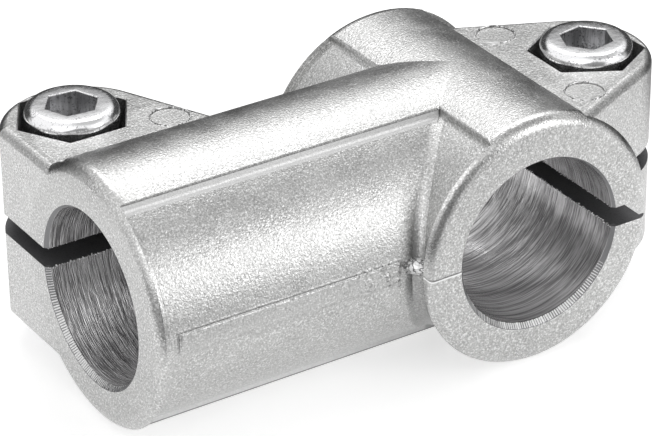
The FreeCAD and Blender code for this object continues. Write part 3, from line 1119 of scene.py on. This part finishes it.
class CONNECTOR_OT_chatter(bpy.types.Operator):
    """Make the chatter ticks on the chamfers of the open bores"""

    bl_idname = "connector.chatter"
    bl_label = "Chatter ticks"

    def execute(self, context):
        marks = context.scene.edge_marks
        material = fresh_metal(context.scene.casting_look)
        net = chatter_tree()
        ends = [                  # turn, place, middle and sweep of the ticks in degrees
            ((math.pi / 2, 0.0, 0.0), (0.0, -THROUGH_HALF, 0.0), 270.0, 128.0),
            ((-math.pi / 2, 0.0, 0.0), (0.0, THROUGH_HALF, 0.0), 86.0, 128.0),
            ((math.pi / 2, 0.0, math.pi / 2), (BRANCH_REACH, 0.0, 0.0), 248.0, 122.0),
        ]
        meshes = []
        for number, (turn, place, middle, sweep) in enumerate(ends):
            meshes.append(grown_mesh(net, {
                "Count": marks.tick_count,
                "Radius": BORE_RADIUS * MM,
                "Middle": math.radians(middle),
                "Sweep": math.radians(sweep),
                "Chamfer": CHAMFER * MM,
                "Drop": CHAMFER_DROP * MM,
                "Width": marks.tick_width,
                "Seed": marks.seed + number,
                "Turn": turn,
                "Place": [p * MM for p in place],
                "Material": material,
            }))
        piece = joined_piece("chatter_ticks", meshes, material)
        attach(piece, CASTING)
        return {"FINISHED"}


class CONNECTOR_OT_burrs(bpy.types.Operator):
    """Make the torn burrs along the slits inside the bores"""

    bl_idname = "connector.burrs"
    bl_label = "Slit burrs"

    def execute(self, context):
        marks = context.scene.edge_marks
        material = bpy.data.materials["fresh cut aluminium"]
        net = burr_tree()
        wall = -math.sqrt(BORE_RADIUS ** 2 - SLIT_HALF ** 2)
        meshes = []
        for level, size in ((-SLIT_HALF, 1.0), (SLIT_HALF, 0.6)):
            runs = [
                ((wall, 0.6 - THROUGH_HALF, level), (wall, THROUGH_HALF - 0.6, level)),
                ((BRANCH_SLIT_START + 0.2, wall, level), (BRANCH_REACH - 0.6, wall, level)),
            ]
            for start, end in runs:
                length = (Vector(end) - Vector(start)).length * MM
                meshes.append(grown_mesh(net, {
                    "From": [p * MM for p in start],
                    "To": [p * MM for p in end],
                    "Count": int(length / marks.burr_spacing),
                    "Size": marks.burr_size * size,
                    "Seed": marks.seed + len(meshes),
                    "Material": material,
                }))
        piece = joined_piece("slit_burrs", meshes, material)
        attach(piece, CASTING)
        return {"FINISHED"}


class CONNECTOR_OT_studio(bpy.types.Operator):
    """Make the floor, the soft lights, the white surroundings and the camera"""

    bl_idname = "connector.studio"
    bl_label = "Studio"

    def execute(self, context):
        look = context.scene.studio_look
        context.scene.view_settings.view_transform = "Standard"
        self.floor(look)
        self.surroundings(look)
        self.soft_light("top light", Vector((-0.35, -0.55, 0.95)), (0.9, 0.6), look.top_power)
        self.soft_light("side light", Vector((-0.65, 0.95, 0.42)), (0.5, 0.7), look.side_power)
        self.camera()
        return {"FINISHED"}

    def floor(self, look):
        """Round floor, with three parts that look grey only where metal mirrors them."""
        count, rings = 96, 6
        middle = Vector((9.0, -13.0, -BAND_RADIUS))
        points, faces = [middle], []
        for r in range(1, rings + 1):
            size = look.floor_radius / MM * r / rings
            points += [middle + Vector((size * math.cos(2 * math.pi * k / count),
                                        size * math.sin(2 * math.pi * k / count), 0))
                       for k in range(count)]
        for k in range(count):
            after = (k + 1) % count
            faces.append((0, 1 + k, 1 + after))
            for r in range(rings - 1):
                near, far = 1 + r * count, 1 + (r + 1) * count
                faces.append((near + k, far + k, far + after, near + after))

        material, net, position = new_material("pale floor", 0.0, 0.9)
        ahead = net.ramp(net.dot(position, (0.3, 0.95, 0.0)), 78.0, 95.0)
        behind = net.ramp(net.dot(position, (0.57, 0.82, 0.0)), -45.0, -82.0)
        aside = net.ramp(net.dot(position, (0.8, 0.6, 0.0)), 110.0, 150.0, 0.0, 0.7)
        seen, glossy = self.rays(net)
        grey = net.times(net.larger(net.larger(ahead, behind), aside), glossy)
        level = net.times_plus(grey, -0.8, 1.0)
        glow = net.times(seen, level, net.times_plus(glossy, -0.08, 0.5))
        shader = net.tree.nodes["Principled BSDF"].inputs
        shader["Specular IOR Level"].default_value = 0.0
        shader["Emission Color"].default_value = opaque(1.0)
        net.put(net.blend(level, 0.0, look.floor_colour), shader["Base Color"])
        net.put(glow, shader["Emission Strength"])
        make_piece("floor", points, faces, material)

    def rays(self, net):
        """Two masks: rays from the camera, metal or glass, and rays from metal alone."""
        rays = net.add("ShaderNodeLightPath").outputs
        seen = net.larger(rays["Is Camera Ray"], rays["Is Glossy Ray"])
        return net.larger(seen, rays["Is Transmission Ray"]), rays["Is Glossy Ray"]

    def surroundings(self, look):
        """White surroundings, with grey and bright patches that only metal mirrors."""
        world = bpy.data.worlds.new("studio")
        bpy.context.scene.world = world
        world.use_nodes = True
        world.node_tree.nodes.clear()
        net = Network(world.node_tree)
        way = net.add("ShaderNodeTexCoord").outputs["Generated"]
        lift = net.dot(way, (0.0, 0.0, 1.0))
        high = net.ramp(lift, 0.35, 0.5, 1.0, 1.04)
        behind = net.times(net.ramp(net.dot(way, (-0.602, -0.799, 0.0)), 0.15, 0.5),
                           net.ramp(lift, 0.54, 0.36))
        front = net.ramp(net.dot(way, (0.3, 0.94, 0.12)), 0.82, 0.92)
        over = net.ramp(net.dot(way, (-0.34, 0.2, 0.92)), 0.86, 0.97)
        near = net.ramp(net.dot(way, (0.62, 0.5, 0.6)), 0.88, 0.96)
        aside = net.times(net.ramp(lift, 0.06, -0.04),
                          net.ramp(net.dot(way, (0.8, 0.6, 0.0)), 0.5, 0.8))
        light = high
        for patch, darker in ((behind, 0.94), (front, 0.7), (over, 0.4)):
            light = net.times(light, net.times_plus(patch, -darker, 1.0))
        light = net.times_plus(near, 0.8, light)
        light = net.times(light, net.times_plus(aside, -0.6, 1.0))

        seen, glossy = self.rays(net)
        mirrored = net.add("ShaderNodeBackground", opaque(1.0), net.mix(glossy, 1.0, light))
        room = net.add("ShaderNodeBackground", opaque(1.0), look.room_level)
        mixed = net.add("ShaderNodeMixShader", seen, room.outputs[0], mirrored.outputs[0])
        net.add("ShaderNodeOutputWorld", Surface=mixed.outputs[0])

    def soft_light(self, name, place, size, power):
        light = bpy.data.lights.new(name, "AREA")
        light.shape = "RECTANGLE"
        light.size, light.size_y = size
        light.energy = power
        lamp = bpy.data.objects.new(name, light)
        lamp.location = place
        lamp.rotation_euler = (-place).to_track_quat("-Z", "Y").to_euler()
        lamp.visible_camera = False
        bpy.context.scene.collection.objects.link(lamp)

    def camera(self):
        """Camera at the photograph's place, in millimetres, looking along forward."""
        place = Vector((279.99322, 403.91266, 266.77232))
        turn = Vector((0.70683310, 2.39142531, -1.41005009))
        focal, width = 3305.052, 658      # both in pixels
        rows = Matrix.Rotation(turn.length, 3, turn.normalized())
        right, down, forward = rows[0], rows[1], rows[2]
        lens = bpy.data.cameras.new("camera")
        lens.sensor_fit = "HORIZONTAL"
        lens.sensor_width = 36.0
        lens.lens = focal / width * lens.sensor_width
        lens.clip_start, lens.clip_end = 0.02, 50.0
        camera = bpy.data.objects.new("camera", lens)
        camera.matrix_world = Matrix.Translation(place * MM) @ Matrix((
            (right.x, -down.x, -forward.x),
            (right.y, -down.y, -forward.y),
            (right.z, -down.z, -forward.z))).to_4x4()
        bpy.context.scene.collection.objects.link(camera)
        bpy.context.scene.camera = camera


class CONNECTOR_PT_panel(bpy.types.Panel):
    """Lists the sizes, the colours and the steps."""

    bl_idname = "CONNECTOR_PT_panel"
    bl_label = "Tube connector"
    bl_space_type = "VIEW_3D"
    bl_region_type = "UI"
    bl_category = "Tube connector"

    def draw(self, context):
        for group, operators in STEPS:
            box = self.layout.box()
            settings = getattr(context.scene, group)
            for name in settings.__annotations__:
                box.prop(settings, name)
            for operator in operators:
                box.operator(operator)


# Some finishes are made by one step and used again by a later one, so the order counts.
STEPS = (
    ("casting_look", ("connector.effects", "connector.casting", "connector.nuts")),
    ("screw_sizes", ("connector.screws",)),
    ("edge_marks", ("connector.scar", "connector.seams", "connector.rings",
                    "connector.chatter", "connector.burrs")),
    ("studio_look", ("connector.studio",)),
)
SETTINGS = {"casting_look": CastingLook, "screw_sizes": ScrewSizes,
            "edge_marks": EdgeMarks, "studio_look": StudioLook}
CLASSES = (CastingLook, ScrewSizes, EdgeMarks, StudioLook, CONNECTOR_OT_effects,
           CONNECTOR_OT_casting, CONNECTOR_OT_screws, CONNECTOR_OT_nuts, CONNECTOR_OT_scar,
           CONNECTOR_OT_seams, CONNECTOR_OT_rings, CONNECTOR_OT_chatter, CONNECTOR_OT_burrs,
           CONNECTOR_OT_studio, CONNECTOR_PT_panel)


def register():
    for item in CLASSES:
        bpy.utils.register_class(item)
    for name, kind in SETTINGS.items():
        setattr(bpy.types.Scene, name, PointerProperty(type=kind))


def unregister():
    for name in SETTINGS:
        delattr(bpy.types.Scene, name)
    for item in reversed(CLASSES):
        bpy.utils.unregister_class(item)


def main():
    register()
    for _, operators in STEPS:
        for operator in operators:
            getattr(bpy.ops.connector, operator.split(".")[1])()


if __name__ == "__main__":
    main()
